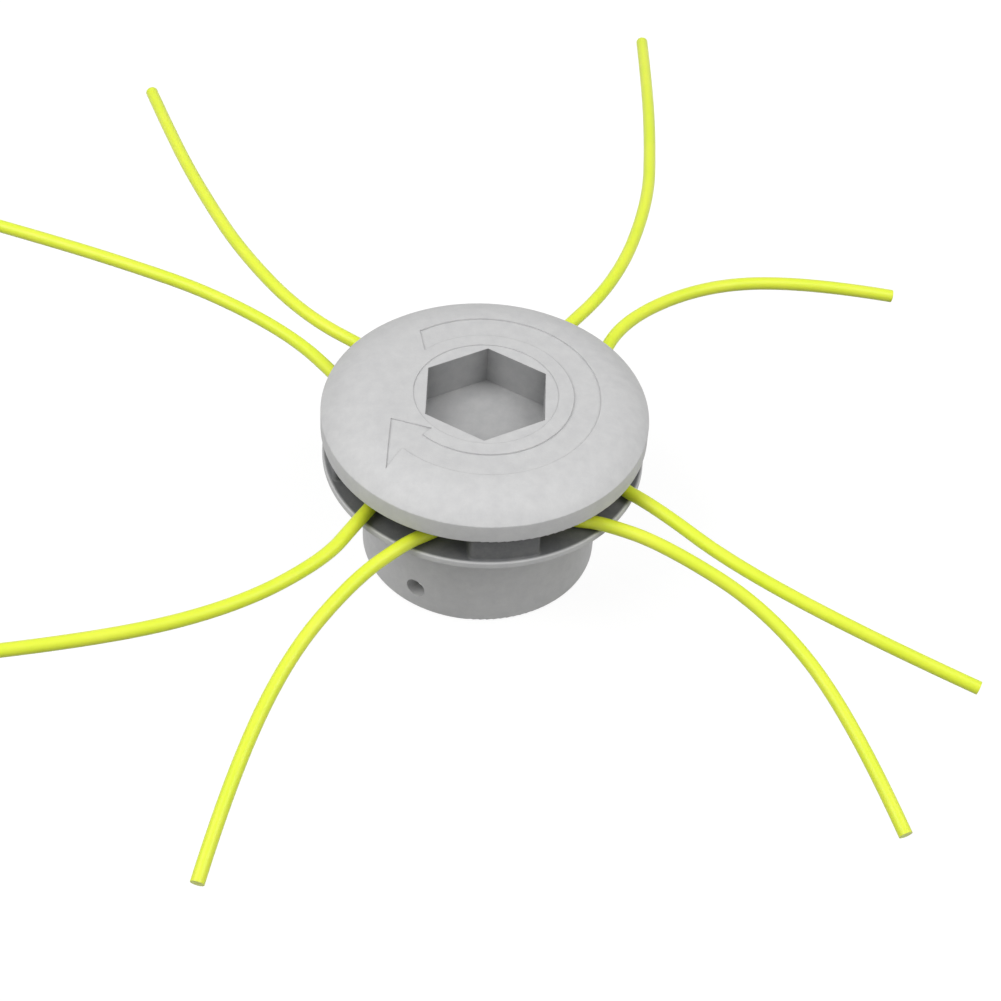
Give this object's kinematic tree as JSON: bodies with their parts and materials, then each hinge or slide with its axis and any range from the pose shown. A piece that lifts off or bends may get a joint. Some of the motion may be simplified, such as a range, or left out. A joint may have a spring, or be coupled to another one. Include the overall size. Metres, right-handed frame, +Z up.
{
  "type": "fixed line trimmer head",
  "caption": "Cast aluminium trimmer head that holds bent nylon cutting lines in a slot under its round cap and screws on to a brushcutter shaft.",
  "frame": {"origin": "centre of the skirt's end, on the surface that the head stands on", "axes": "+Z up the shaft's axis towards the cap; -Y is the front, the side nearest the viewer of the picture; +X is to the viewer's right"},
  "size_m": [0.2527, 0.3061, 0.0481],
  "materials": {
    "cast_aluminium": "satin, fine blasted casting",
    "nylon_line": "smooth bright yellow-green monofilament"
  },
  "bodies": {
    "root": {"head_body": "cast_aluminium", "line_front": "nylon_line", "line_left": "nylon_line", "line_back": "nylon_line", "line_right": "nylon_line"}
  },
  "joints": []
}
